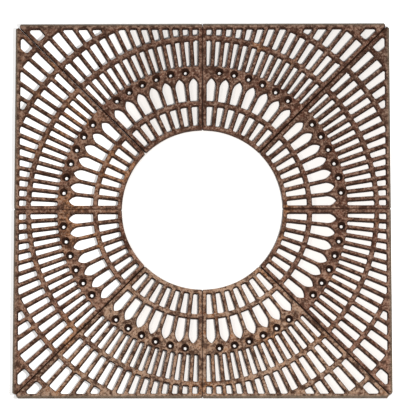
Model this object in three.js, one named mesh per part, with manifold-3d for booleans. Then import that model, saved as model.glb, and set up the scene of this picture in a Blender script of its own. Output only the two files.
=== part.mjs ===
// Square cast iron tree grate in eight sections that bolt together round a tree.
// Millimetres, +Z up. The origin is on the ground at the middle of the tree opening,
// and the sides of the square face +X, +Y, -X and -Y.

import * as THREE from 'three';
import { ConvexGeometry } from 'three/addons/geometries/ConvexGeometry.js';
import { mergeVertices } from 'three/addons/utils/BufferGeometryUtils.js';
import Module from 'manifold-3d';

const wasm = await Module();
wasm.setup();

// Whole grate
const grateSide = 1220;
const grateDepth = 38;
const openingRadius = 262;
const sideSeam = 0.6;
const diagonalSeam = 3;
const cornerCut = 5;

// Walls of one section, with their widths on the flush top face
const rimWidth = 12;
const collarWidth = 12;
const flangeWidth = 11;
const barWidth = 9;
const lancetBarWidth = 7.5;
const bandWidth = 12;

// Depth of the bars, and how the walls lean so that the casting leaves its mould:
// they thicken down to the underside of the bars, and the skirt below thins again
const barDepth = 30;
const wallDraft = 2.6;
const skirtDraft = 1;
const partingStep = 0.5;

// Pattern of one section: a fan of slots in rings, about a centre that is set out
// along the section's middle line, so that its first and last bars lie along the joints
const patternOffset = 16.8;
const lancetCount = 7;
const slotCount = 2 * lancetCount;
const innerRingLength = 69;
const lancetLength = 82.5;
const archLength = 31;
const beltWidth = 33;
const drainHoleRadius = 12.5;
const secondRingLength = 90;
const thirdRingLength = 83;
const fourthRingLength = 90;
const shortestSlot = 20;

// Square-headed bolts that clamp the flanges of neighbouring sections
const boltDiameter = 7.9;
const boltHeadWidth = 12.7;
const boltHeadHeight = 5.2;
const boltEndLength = 3;
const boltEndChamfer = 1;
const nutWidth = 14.3;
const nutThickness = 6.8;
const washerDiameter = 17.5;
const washerThickness = 1.6;
const boltHoleClearance = 0.6;

// Where the bolts lie along a seam, as shares of its way from the opening to the outer edge
const sideInnerBoltShare = 0.548;
const sideOuterBoltShare = 0.871;
const diagonalInnerBoltShare = 0.3175;
const diagonalOuterBoltShare = 0.663;

// Bays under the grate that give the bolts room, and the pads where flanges meet
const bayClearance = 2.2;
const bayRoofGap = 1;
const bayFloorGap = 0.75;
const seatGap = 0.3;

// Facets, and the overrun that lets a cut pass through a face
const collarSteps = 8;
const archSteps = 2;
const holeSides = 8;
const shankSides = 8;
const washerSides = 8;
const overrun = 2;

const halfSide = grateSide / 2;
const underside = grateDepth - barDepth;
const eighth = Math.PI / 4;
const slotPitch = eighth / slotCount;
const lancetPitch = eighth / lancetCount;
const patternCentre = new THREE.Vector2(
  patternOffset * Math.cos(eighth / 2),
  patternOffset * Math.sin(eighth / 2),
);

// Radii of the rings of openings, from the pattern centre outwards
const innerRing = spanFrom(openingRadius + collarWidth - patternOffset, innerRingLength);
const lancetRing = spanFrom(innerRing.end + bandWidth, lancetLength);
const secondRing = spanFrom(lancetRing.end + beltWidth, secondRingLength);
const thirdRing = spanFrom(secondRing.end + bandWidth, thirdRingLength);
const fourthRing = spanFrom(thirdRing.end + bandWidth, fourthRingLength);
const cornerRing = spanFrom(fourthRing.end + bandWidth, grateSide);
const beltMiddle = (lancetRing.end + secondRing.start) / 2;

// Bolt height and bay sizes, from the widest piece that lies in a bay
const boltHeight = washerDiameter / 2 + bayFloorGap;
const bayRoof = boltHeight + washerDiameter / 2 + bayRoofGap;
const bayLength = washerDiameter + 2 * bayClearance;
const bayReach = washerThickness + nutThickness + boltEndLength + bayClearance;

// The two kinds of joint that a section has, and how far out along it each bolt lies
const sideJoint = {
  turn: 0,
  across: 1,
  seam: sideSeam,
  bolts: boltsAlong(halfSide, sideInnerBoltShare, sideOuterBoltShare),
};
const diagonalJoint = {
  turn: eighth,
  across: -1,
  seam: diagonalSeam,
  bolts: boltsAlong(halfSide * Math.SQRT2, diagonalInnerBoltShare, diagonalOuterBoltShare),
};

function spanFrom(start, length) {
  return { start, end: start + length };
}

function boltsAlong(seamEnd, innerShare, outerShare) {
  const placeAt = (share) => openingRadius + (seamEnd - openingRadius) * share;
  return { inner: placeAt(innerShare), outer: placeAt(outerShare) };
}

// Closed meshes to solids and back
function solidOf(geometry) {
  const bare = geometry.clone();
  bare.deleteAttribute('normal');
  bare.deleteAttribute('uv');
  const merged = mergeVertices(bare);
  const mesh = new wasm.Mesh({
    numProp: 3,
    vertProperties: new Float32Array(merged.attributes.position.array),
    triVerts: new Uint32Array(merged.index.array),
  });
  return new wasm.Manifold(mesh);
}

function geometryOf(solid) {
  const mesh = solid.getMesh();
  const geometry = new THREE.BufferGeometry();
  geometry.setAttribute('position', new THREE.BufferAttribute(mesh.vertProperties, 3));
  geometry.setIndex(new THREE.BufferAttribute(mesh.triVerts, 1));
  geometry.computeVertexNormals();
  return geometry;
}

// A solid between two outlines with as many points, one above the other
function loft(lower, upper, bottom, top) {
  const count = lower.length;
  const positions = [];
  lower.forEach((point) => positions.push(point.x, point.y, bottom));
  upper.forEach((point) => positions.push(point.x, point.y, top));
  const index = [];
  THREE.ShapeUtils.triangulateShape(lower, []).forEach(([a, b, c]) => {
    index.push(a, c, b);
    index.push(count + a, count + b, count + c);
  });
  for (let here = 0; here < count; here += 1) {
    const next = (here + 1) % count;
    index.push(here, next, count + next);
    index.push(here, count + next, count + here);
  }
  const geometry = new THREE.BufferGeometry();
  geometry.setAttribute('position', new THREE.Float32BufferAttribute(positions, 3));
  geometry.setIndex(index);
  return geometry;
}

// Outline of a section between the side's middle (angle 0) and the corner (45 degrees),
// set in by a distance from its joints, from the outer edge and from the opening
function sectionOutline(jointInset, edgeInset, collarInset) {
  const fromSide = sideSeam / 2 + jointInset;
  const fromDiagonal = diagonalSeam / 2 + jointInset;
  const radius = openingRadius + collarInset;
  const edge = halfSide - edgeInset;
  const corner = edge - fromDiagonal * Math.SQRT2;
  const shape = new THREE.Shape();
  shape.moveTo(edge, fromSide);
  shape.lineTo(edge, corner - cornerCut);
  shape.lineTo(edge - cornerCut * Math.SQRT1_2, corner - cornerCut * Math.SQRT1_2);
  const startAngle = eighth - Math.asin(fromDiagonal / radius);
  const endAngle = Math.asin(fromSide / radius);
  shape.absarc(0, 0, radius, startAngle, endAngle, true);
  return shape.getPoints(collarSteps / 2);
}

// Straight bounds of an opening: a point is inside where it lies past each bound's
// distance along the bound's normal, by the wall that stands there
function leftOf(origin, angle, wall) {
  const normal = new THREE.Vector2(-Math.sin(angle), Math.cos(angle));
  return { normal, distance: normal.dot(origin) + wall };
}

function rightOf(origin, angle, wall) {
  const normal = new THREE.Vector2(Math.sin(angle), -Math.cos(angle));
  return { normal, distance: normal.dot(origin) + wall };
}

function beyond(radius, angle) {
  const normal = new THREE.Vector2(Math.cos(angle), Math.sin(angle));
  return { normal, distance: normal.dot(patternCentre) + radius };
}

function within(radius, angle) {
  const outward = beyond(radius, angle);
  return { normal: outward.normal.negate(), distance: -outward.distance };
}

const centre = new THREE.Vector2(0, 0);
const sectionBounds = [
  leftOf(centre, 0, sideSeam / 2 + flangeWidth),
  rightOf(centre, eighth, diagonalSeam / 2 + flangeWidth),
  { normal: new THREE.Vector2(-1, 0), distance: rimWidth - halfSide },
];

// A convex outline cut back to one side of a bound that is moved in by the inset
function cutBack(outline, bound, inset) {
  const reach = bound.distance + inset;
  const kept = [];
  outline.forEach((point, place) => {
    const next = outline[(place + 1) % outline.length];
    const here = bound.normal.dot(point) - reach;
    const there = bound.normal.dot(next) - reach;
    if (here >= 0) {
      kept.push(point);
    }
    if (here >= 0 !== there >= 0) {
      kept.push(point.clone().lerp(next, here / (here - there)));
    }
  });
  return kept;
}

// Outline of the slot between two rays of the fan, or nothing where the rim leaves no room
function slotOutline(firstRay, lastRay, ring, inset) {
  const middle = (firstRay + lastRay) / 2;
  const bounds = [...sectionBounds, beyond(ring.start, middle), within(ring.end, middle)];
  if (firstRay > 0) {
    bounds.push(leftOf(patternCentre, firstRay, barWidth / 2));
  }
  if (lastRay < eighth - slotPitch / 2) {
    bounds.push(rightOf(patternCentre, lastRay, barWidth / 2));
  }
  const whole = [
    new THREE.Vector2(-grateSide, -grateSide),
    new THREE.Vector2(grateSide, -grateSide),
    new THREE.Vector2(grateSide, grateSide),
    new THREE.Vector2(-grateSide, grateSide),
  ];
  return bounds.reduce((outline, bound) => cutBack(outline, bound, inset), whole);
}

// Length of a slot along its middle, up to the ring's end or the rim
function slotLength(middle, ring) {
  const toRim = (halfSide - rimWidth - patternCentre.x) / Math.cos(middle);
  return Math.min(ring.end, toRim) - ring.start;
}

// Outline of a lancet: straight sides along its two bars, and a pointed arch outside
function lancetOutline(middle, inset) {
  const base = lancetRing.start + inset;
  const spring = lancetRing.end - archLength;
  const rise = archLength - inset;
  const slope = Math.tan(lancetPitch / 2);
  const wall = (lancetBarWidth / 2 + inset) / Math.cos(lancetPitch / 2);
  const baseHalf = base * slope - wall;
  const springHalf = spring * slope - wall;
  const radius = (rise * rise + springHalf * springHalf) / (2 * springHalf);
  const sweep = Math.asin(rise / radius);
  const side = [new THREE.Vector2(base, baseHalf)];
  for (let step = 0; step < archSteps; step += 1) {
    const angle = (sweep * step) / archSteps;
    side.push(new THREE.Vector2(
      spring + radius * Math.sin(angle),
      springHalf - radius * (1 - Math.cos(angle)),
    ));
  }
  const tip = new THREE.Vector2(spring + rise, 0);
  const mirrored = side.map((point) => new THREE.Vector2(point.x, -point.y));
  const outline = [...mirrored, tip, ...side.reverse()];
  outline.forEach((point) => point.rotateAround(centre, middle).add(patternCentre));
  return sectionBounds.reduce((kept, bound) => cutBack(kept, bound, inset), outline);
}

// How far a wall has come in at a height, since it leans by its draft over the bar's depth
function insetAt(height) {
  return (wallDraft * (grateDepth - height)) / barDepth;
}

// A tapered cutter through the bars, from an outline that follows the inset
function openingCutter(outlineFor) {
  const points = [];
  [underside - overrun, grateDepth + overrun].forEach((height) => {
    outlineFor(insetAt(height)).forEach((point) => {
      points.push(new THREE.Vector3(point.x, point.y, height));
    });
  });
  return solidOf(new ConvexGeometry(points));
}

function lancetCutters() {
  return Array.from({ length: lancetCount }, (_, place) => {
    const middle = (place + 0.5) * lancetPitch;
    return openingCutter((inset) => lancetOutline(middle, inset));
  });
}

// Slots of one ring, left solid where the rim would make them too short
function ringCutters(ring, pitch) {
  const cutters = [];
  const count = Math.round(eighth / pitch);
  for (let place = 0; place < count; place += 1) {
    const first = place * pitch;
    const last = first + pitch;
    if (slotLength((first + last) / 2, ring) >= shortestSlot) {
      cutters.push(openingCutter((inset) => slotOutline(first, last, ring, inset)));
    }
  }
  return cutters;
}

// Round holes in the belt, one on each bar between two lancets
function drainHoleCutters() {
  const bottom = underside - overrun;
  const top = grateDepth + overrun;
  return Array.from({ length: lancetCount - 1 }, (_, place) => {
    const angle = (place + 1) * lancetPitch;
    const hole = new THREE.CylinderGeometry(
      drainHoleRadius - insetAt(top),
      drainHoleRadius - insetAt(bottom),
      top - bottom,
      holeSides,
    );
    hole.rotateX(Math.PI / 2);
    hole.translate(
      patternCentre.x + beltMiddle * Math.cos(angle),
      patternCentre.y + beltMiddle * Math.sin(angle),
      (top + bottom) / 2,
    );
    return solidOf(hole);
  });
}

// The space under the bars, inside the skirt that the rim, the flanges and the collar form
function undersideCutter() {
  const atBars = wallDraft - partingStep;
  const atGround = atBars - skirtDraft;
  const slope = skirtDraft / underside;
  const atOverrun = atGround - slope * overrun;
  const lower = sectionOutline(flangeWidth + atOverrun, rimWidth + atOverrun, collarWidth + atOverrun);
  const upper = sectionOutline(flangeWidth + atBars, rimWidth + atBars, collarWidth + atBars);
  return solidOf(loft(lower, upper, -overrun, underside));
}

// A box beside a joint: from one distance off the seam's middle to another
function jointBox(joint, along, length, near, far, bottom, top) {
  const box = new THREE.BoxGeometry(length, far - near, top - bottom);
  box.translate(along, (joint.across * (near + far)) / 2, (bottom + top) / 2);
  box.rotateZ(joint.turn);
  return solidOf(box);
}

// Pads stand out from a section's diagonal face at the bolts, where the sections meet
function diagonalPads() {
  const depth = diagonalSeam / 2 + flangeWidth / 2;
  return Object.values(diagonalJoint.bolts).map((along) => (
    jointBox(diagonalJoint, along, bayLength, seatGap / 2, depth, 0, bayRoof)
  ));
}

function boltBay(joint, along) {
  const seat = joint.seam / 2 + flangeWidth;
  return jointBox(joint, along, bayLength, seat, seat + bayReach, -overrun, bayRoof);
}

function boltHole(joint, along) {
  const radius = boltDiameter / 2 + boltHoleClearance;
  const length = joint.seam + 2 * (flangeWidth + overrun);
  const hole = new THREE.CylinderGeometry(radius, radius, length, shankSides);
  hole.translate(along, 0, boltHeight);
  hole.rotateZ(joint.turn);
  return solidOf(hole);
}

// One casting, between the middle of a side and the corner to its left
function sectionSolid() {
  const block = new THREE.ExtrudeGeometry(
    new THREE.Shape(sectionOutline(0, 0, 0)),
    { depth: grateDepth, bevelEnabled: false },
  );
  const joints = [sideJoint, diagonalJoint];
  const forEachBolt = (make) => joints.flatMap((joint) => (
    Object.values(joint.bolts).map((along) => make(joint, along))
  ));
  const cutters = [
    undersideCutter(),
    ...forEachBolt(boltBay),
    ...forEachBolt(boltHole),
    ...ringCutters(innerRing, lancetPitch),
    ...lancetCutters(),
    ...drainHoleCutters(),
    ...ringCutters(secondRing, slotPitch),
    ...ringCutters(thirdRing, slotPitch),
    ...ringCutters(fourthRing, slotPitch),
    ...ringCutters(cornerRing, slotPitch),
  ];
  const padded = diagonalPads().reduce((solid, pad) => solid.add(pad), solidOf(block));
  return cutters.reduce((solid, cutter) => solid.subtract(cutter), padded);
}

// Fasteners lie along their joint's cross direction, with the bolt's head on its +Y side
function seatOf(joint) {
  return joint.seam / 2 + flangeWidth + seatGap;
}

function boltGeometry(joint) {
  const seat = seatOf(joint);
  const radius = boltDiameter / 2;
  const nutSide = seat + washerThickness + seatGap + nutThickness + boltEndLength;
  const shank = new THREE.LatheGeometry([
    new THREE.Vector2(0, -nutSide),
    new THREE.Vector2(radius - boltEndChamfer, -nutSide),
    new THREE.Vector2(radius, boltEndChamfer - nutSide),
    new THREE.Vector2(radius, seat + boltHeadHeight / 2),
    new THREE.Vector2(0, seat + boltHeadHeight / 2),
  ], shankSides);
  const head = new THREE.BoxGeometry(boltHeadWidth, boltHeadHeight, boltHeadWidth);
  head.translate(0, seat + boltHeadHeight / 2, 0);
  return geometryOf(solidOf(shank).add(solidOf(head)));
}

// A flat plate with a bolt's bore, standing across the joint on the bolt's nut side
function boredPlate(outline, thickness, sides) {
  const bore = new THREE.Path();
  bore.absarc(0, 0, boltDiameter / 2 + seatGap, 0, 2 * Math.PI, true);
  outline.holes.push(bore);
  const plate = new THREE.ExtrudeGeometry(outline, {
    depth: thickness,
    bevelEnabled: false,
    curveSegments: sides / 2,
  });
  plate.rotateX(Math.PI / 2);
  return plate;
}

function washerGeometry(joint) {
  const outline = new THREE.Shape();
  outline.absarc(0, 0, washerDiameter / 2, 0, 2 * Math.PI, false);
  const washer = boredPlate(outline, washerThickness, washerSides);
  washer.translate(0, -seatOf(joint), 0);
  return washer;
}

function nutGeometry(joint) {
  const half = nutWidth / 2;
  const outline = new THREE.Shape();
  outline.moveTo(-half, -half);
  outline.lineTo(half, -half);
  outline.lineTo(half, half);
  outline.lineTo(-half, half);
  const nut = boredPlate(outline, nutThickness, shankSides);
  nut.translate(0, -(seatOf(joint) + washerThickness + seatGap), 0);
  return nut;
}

// Finishes
const rustedIron = new THREE.MeshStandardMaterial({
  name: 'rusted_cast_iron',
  color: 0x6b4f3c,
  roughness: 0.88,
  metalness: 0.2,
  flatShading: true,
});
const rustedSteel = new THREE.MeshStandardMaterial({
  name: 'rusted_steel',
  color: 0x4a3a30,
  roughness: 0.8,
  metalness: 0.35,
  flatShading: true,
});

function namedMesh(name, geometry, material) {
  const mesh = new THREE.Mesh(geometry, material);
  mesh.name = name;
  return mesh;
}

// The bolts, washers and nuts of one joint
function jointFasteners(prefix, joint) {
  const fasteners = new THREE.Group();
  fasteners.rotation.z = joint.turn;
  Object.entries(joint.bolts).forEach(([place, along]) => {
    const set = new THREE.Group();
    set.position.set(along, 0, boltHeight);
    set.add(namedMesh(`${prefix}_${place}_bolt`, boltGeometry(joint), rustedSteel));
    set.add(namedMesh(`${prefix}_${place}_washer`, washerGeometry(joint), rustedSteel));
    set.add(namedMesh(`${prefix}_${place}_nut`, nutGeometry(joint), rustedSteel));
    fasteners.add(set);
  });
  return fasteners;
}

// Both hands of the casting: the right-hand one mirrors the left-hand one
const leftSection = sectionSolid();
const leftGeometry = geometryOf(leftSection);
const rightGeometry = geometryOf(leftSection.mirror([0, 1, 0]));

// The grate: a quarter for each side of the square, with the corner joint on its left
const grate = new THREE.Group();
grate.name = 'tree_grate';
const quarters = [
  { side: 'east', corner: 'northeast' },
  { side: 'north', corner: 'northwest' },
  { side: 'west', corner: 'southwest' },
  { side: 'south', corner: 'southeast' },
];
quarters.forEach(({ side, corner }, place) => {
  const quarter = new THREE.Group();
  quarter.rotation.z = place * 2 * eighth;
  quarter.add(namedMesh(`${side}_left_section`, leftGeometry, rustedIron));
  quarter.add(namedMesh(`${side}_right_section`, rightGeometry, rustedIron));
  quarter.add(jointFasteners(`${side}_joint`, sideJoint));
  quarter.add(jointFasteners(`${corner}_joint`, diagonalJoint));
  grate.add(quarter);
});

export default grate;
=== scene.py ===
"""A square cast iron tree grate: eight sections with a fan of slots, bolted together underneath."""

import math

import bmesh
import bpy
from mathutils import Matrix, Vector


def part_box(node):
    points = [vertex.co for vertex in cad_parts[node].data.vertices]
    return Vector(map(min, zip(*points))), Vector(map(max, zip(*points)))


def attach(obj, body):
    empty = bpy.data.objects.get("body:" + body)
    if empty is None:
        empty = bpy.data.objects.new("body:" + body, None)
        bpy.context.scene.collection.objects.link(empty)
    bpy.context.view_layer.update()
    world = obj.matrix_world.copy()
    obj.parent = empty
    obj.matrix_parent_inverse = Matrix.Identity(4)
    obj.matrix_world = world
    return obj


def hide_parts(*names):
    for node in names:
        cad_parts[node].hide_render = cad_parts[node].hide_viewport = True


bl_info = {
    "name": "Tree Grate",
    "version": (1, 0, 0),
    "blender": (4, 5, 0),
    "location": "3D View > Sidebar > Tree Grate",
    "description": "Casts a square iron tree grate in eight bolted sections and lights it",
    "category": "Object",
}

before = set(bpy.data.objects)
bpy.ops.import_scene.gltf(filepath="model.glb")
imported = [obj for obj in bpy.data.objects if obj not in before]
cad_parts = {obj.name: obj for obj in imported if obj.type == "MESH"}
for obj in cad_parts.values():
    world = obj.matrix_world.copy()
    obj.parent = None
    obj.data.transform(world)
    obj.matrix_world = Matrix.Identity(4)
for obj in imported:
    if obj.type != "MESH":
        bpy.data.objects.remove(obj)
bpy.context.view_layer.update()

MM = 0.001
BODY = "root"
EIGHTH = math.pi / 4
QUARTER = math.pi / 2
MERGE_DISTANCE = 0.002 * MM
LEVEL_TOLERANCE = 0.01 * MM
NODE_SPACING = 200

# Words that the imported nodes' names are made of
SIDES = ("east", "north", "west", "south")
HANDS = ("left", "right")
JOINTS = ("east", "northeast", "north", "northwest", "west", "southwest", "south", "southeast")
BOLT_PLACES = ("inner", "outer")

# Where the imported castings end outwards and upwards
SECTION_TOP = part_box("east_left_section")[1]

# What a point of the outlines belongs to
OPENING = 0
EDGE = 1
POCKET = 2
SIDE_BOLT = 3
DIAGONAL_BOLT = 4
DRAIN = 5

# Above these angles between two faces their edge is drawn sharp
CASTING_SHARP = math.radians(32)
FASTENER_SHARP = math.radians(40)

# Into how many straight pieces round shapes and rounded edges are divided
HOLE_SIDES = 24
FASTENER_SIDES = 32
WASHER_SIDES = 40
RIDGE_SIDES = 4
THREAD_STEPS = 20
EDGE_STEPS = 3
RIM_STEPS = 4
WASHER_EDGE_STEPS = 2

# The cast skin's noise, in cells to a metre, and the value at which the skin keeps its place
SKIN_NOISE = {"Scale": 22.0, "Detail": 3.0, "Roughness": 0.6}
SKIN_MIDDLE = 0.45

# The chamfer cone of a head or nut, as shares of its width: the radius at the face, and how much is
# added to it over a height of one width
CHAMFER_START = 0.49
CHAMFER_SLOPE = 1.7

# The radius of a thread's ridge as a share of the thread's depth
RIDGE_SHARE = 0.9

# Noises of the rust: cells to a metre, detail, roughness and distortion
MOTTLE = (48.0, 7.0, 0.72)
SPECKLE = (135.0, 4.0, 0.7)
GRAIN = (420.0, 3.0, 0.7)
STAINS = (19.0, 5.0, 0.65, 0.6)
PATCHES = (6.0, 8.0, 0.74, 0.3)
STEEL_MOTTLE = (260.0, 5.0, 0.65)

# Bumps of the rust, from low to high
IRON_BUMPS = 1.2 * MM
IRON_PITS = 0.5 * MM
STEEL_BUMPS = 0.25 * MM

# Strips along the grate's outer edge, and the heights at which a wall's shade starts to fade and ends
SCALE_WIDTH = 4 * MM
WORN_WIDTH = 9 * MM
SHADE_ENDS = (12 * MM, 34 * MM)

# Dirt in the joints: where it is whole and where it ends beside the seam, how far a fine and a coarse
# noise shift that, and between which distances from the middle it gets thinner
DIRT_WHOLE = 2 * MM
DIRT_END = 5 * MM
DIRT_SHIFTS = (12 * MM, 16 * MM)
DIRT_THINS = (0.34, 0.48)

# What differs between the sides: the base colour, the share of worn specks, where the orange bloom
# starts and ends in the patches' noise, the share of dirt in the joints, and how much lighter the
# rust gets for each metre towards the south
SIDE_FINISHES = {
    "east": {"base": "dark_rust", "worn": 0.6, "bloom": (0.58, 0.70), "dirt": 0.8, "southward": 0.9},
    "north": {"base": "dark_rust", "worn": 0.7, "bloom": (0.58, 0.70), "dirt": 1.0, "southward": 0.0},
    "west": {"base": "middle_rust", "worn": 0.65, "bloom": (0.50, 0.64), "dirt": 0.3, "southward": 0.25},
    "south": {"base": "light_rust", "worn": 0.95, "bloom": (0.50, 0.66), "dirt": 0.75, "southward": 0.0},
}

# Name of the fasteners' material, and the gloss of all the rust
FASTENER_FINISH = "rusted_fasteners"
SPECULAR = 0.1


def length(name, description, default):
    return bpy.props.FloatProperty(
        name=name, description=description, default=default, unit="LENGTH", precision=4
    )


def angle(name, description, degrees):
    return bpy.props.FloatProperty(
        name=name, description=description, default=math.radians(degrees), subtype="ANGLE"
    )


def share(name, description, default):
    return bpy.props.FloatProperty(
        name=name, description=description, default=default, subtype="FACTOR", min=0, max=1
    )


def colour(name, description, default):
    return bpy.props.FloatVectorProperty(
        name=name, description=description, default=default, subtype="COLOR", size=3, min=0, max=1
    )


class GratePattern(bpy.types.PropertyGroup):
    """Sizes of one section: its walls, the rings of its fan and its rounded edges."""

    side: length("Side", "Side of the square", 2 * SECTION_TOP.x)
    depth: length("Depth", "Overall depth", SECTION_TOP.z)
    opening_radius: length("Opening Radius", "Radius of the tree opening", 262 * MM)
    side_seam: length("Side Seam", "Gap between sections on a side's middle", 0.6 * MM)
    diagonal_seam: length("Diagonal Seam", "Gap between sections on a diagonal", 3 * MM)
    corner_cut: length("Corner Cut", "Cut across a section's outer corner", 5 * MM)
    rim_width: length("Rim Width", "Outer wall on the top face", 12 * MM)
    collar_width: length("Collar Width", "Wall round the tree opening", 12 * MM)
    flange_width: length("Flange Width", "Wall along a joint", 11 * MM)
    bar_width: length("Bar Width", "Bar between two slots", 9 * MM)
    lancet_bar_width: length("Lancet Bar Width", "Bar between two lancets", 7.5 * MM)
    band_width: length("Band Width", "Band between two rings", 12 * MM)
    bar_depth: length("Bar Depth", "Depth of the bars", 30 * MM)
    wall_draft: length("Wall Draft", "Lean of a slot's wall over the bar's depth", 2.6 * MM)
    skirt_draft: length("Skirt Draft", "Lean of the skirt below the bars", 1 * MM)
    parting_step: length("Parting Step", "Step between slot walls and skirt", 0.5 * MM)
    pattern_offset: length("Pattern Offset", "How far out the fan's centre lies", 16.8 * MM)
    lancet_count: bpy.props.IntProperty(
        name="Lancets", description="Lancets in a section", default=7, min=1
    )
    inner_ring: length("Inner Ring", "Length of the innermost slots", 69 * MM)
    lancet_ring: length("Lancets' Length", "Length of the lancets", 82.5 * MM)
    arch: length("Arch", "Length of a lancet's pointed arch", 31 * MM)
    belt_width: length("Belt Width", "Solid belt that holds the drain holes", 33 * MM)
    drain_radius: length("Drain Hole Radius", "Radius of a drain hole", 13.2 * MM)
    drain_taper: length("Drain Hole Taper", "How much narrower a drain hole's foot is", 8.4 * MM)
    second_ring: length("Second Ring", "Length of the slots outside the belt", 90 * MM)
    third_ring: length("Third Ring", "Length of the third ring's slots", 83 * MM)
    fourth_ring: length("Fourth Ring", "Length of the fourth ring's slots", 90 * MM)
    shortest_slot: length("Shortest Slot", "A shorter slot is left solid", 20 * MM)
    slot_corner: length("Slot Corner", "Radius of a slot's corners", 6.2 * MM)
    last_corner: length("Last Corner", "Corners of the openings at the square's corners", 8.5 * MM)
    lancet_corner: length("Lancet Corner", "Radius of a lancet's corners", 4.5 * MM)
    outline_corner: length("Outline Corner", "Radius of a section's corners", 4.5 * MM)
    pocket_corner: length("Pocket Corner", "Radius of the corners under the bars", 3 * MM)
    collar_step: length("Collar Step", "Step between the collar's top and its skirt", 0.8 * MM)
    edge_radius: length("Edge Radius", "Rounding of the edges on top", 2.2 * MM)
    rim_radius: length("Rim Radius", "Rounding of a section's own edge on top", 3.4 * MM)
    foot_radius: length("Foot Radius", "Rounding of the edges underneath", 0.4 * MM)
    unevenness: length("Unevenness", "Between the cast skin's highest and lowest", 1.2 * MM)
    point_spacing: length("Point Spacing", "Longest straight step of an outline", 14 * MM)


class GrateBays(bpy.types.PropertyGroup):
    """Sizes of the bolts, washers and nuts, and of the bays that hold them."""

    bolt_diameter: length("Bolt Diameter", "Diameter of the shank", 7.9 * MM)
    head_width: length("Head Width", "Width of the square head", 12.7 * MM)
    head_height: length("Head Height", "Thickness of the head", 5.2 * MM)
    end_length: length("End Length", "How far the shank stands out of the nut", 3 * MM)
    end_chamfer: length("End Chamfer", "Chamfer of the shank's end", 1 * MM)
    thread_pitch: length("Thread Pitch", "Pitch of the thread", 1.4 * MM)
    thread_depth: length("Thread Depth", "Depth of the thread", 0.7 * MM)
    nut_width: length("Nut Width", "Width of the square nut", 14.3 * MM)
    nut_thickness: length("Nut Thickness", "Thickness of the nut", 6.8 * MM)
    washer_diameter: length("Washer Diameter", "Outer diameter of the washer", 17.5 * MM)
    washer_thickness: length("Washer Thickness", "Thickness of the washer", 1.6 * MM)
    washer_edge: length("Washer Edge", "Rounding of the washer's edges", 0.4 * MM)
    hole_clearance: length("Hole Clearance", "Play of the bolt in its hole", 0.6 * MM)
    bay_clearance: length("Bay Clearance", "Play of the nut in its bay", 2.2 * MM)
    roof_gap: length("Roof Gap", "Gap above a washer", 1 * MM)
    floor_gap: length("Floor Gap", "Gap below a washer", 0.75 * MM)
    seat_gap: length("Seat Gap", "Gap between pieces that touch", 0.3 * MM)
    side_inner: share("Inner Bolt on a Side", "Share of the seam's way out", 0.548)
    side_outer: share("Outer Bolt on a Side", "Share of the seam's way out", 0.871)
    diagonal_inner: share("Inner Bolt on a Diagonal", "Share of the seam's way out", 0.3175)
    diagonal_outer: share("Outer Bolt on a Diagonal", "Share of the seam's way out", 0.663)


class GrateFinish(bpy.types.PropertyGroup):
    """Colours of the rust, and of the light and shade painted on its walls."""

    dark_rust: colour("Dark Rust", "Reddish brown of the north and east castings", (0.200, 0.100, 0.066))
    middle_rust: colour("Middle Rust", "Brown of the west castings", (0.288, 0.149, 0.095))
    light_rust: colour("Light Rust", "Brown of the south castings", (0.420, 0.256, 0.166))
    # Used for dark rust, pits and joint dirt, and as painted shade low on the walls and in the drain holes
    shade_rust: colour("Shade Rust", "Nearly black brown of walls and pits", (0.046, 0.019, 0.011))
    red_rust: colour("Red Rust", "Red brown stains", (0.125, 0.042, 0.024))
    bloom: colour("Bloom", "Orange bloom, mostly on the lighter castings", (0.430, 0.190, 0.075))
    worn: colour("Worn", "Dusty pink grey of worn faces", (0.450, 0.315, 0.230))
    edge_scale: colour("Edge Scale", "Olive grey scale along the outer edge", (0.165, 0.132, 0.095))
    # Painted light: a red brown that upright walls take in place of the light bounced onto them
    wall_rust: colour("Wall Rust", "Loose red rust on the walls of the slots", (0.195, 0.096, 0.062))
    fastener: colour("Fastener", "Dark brown of the bolts", (0.055, 0.030, 0.020))


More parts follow.
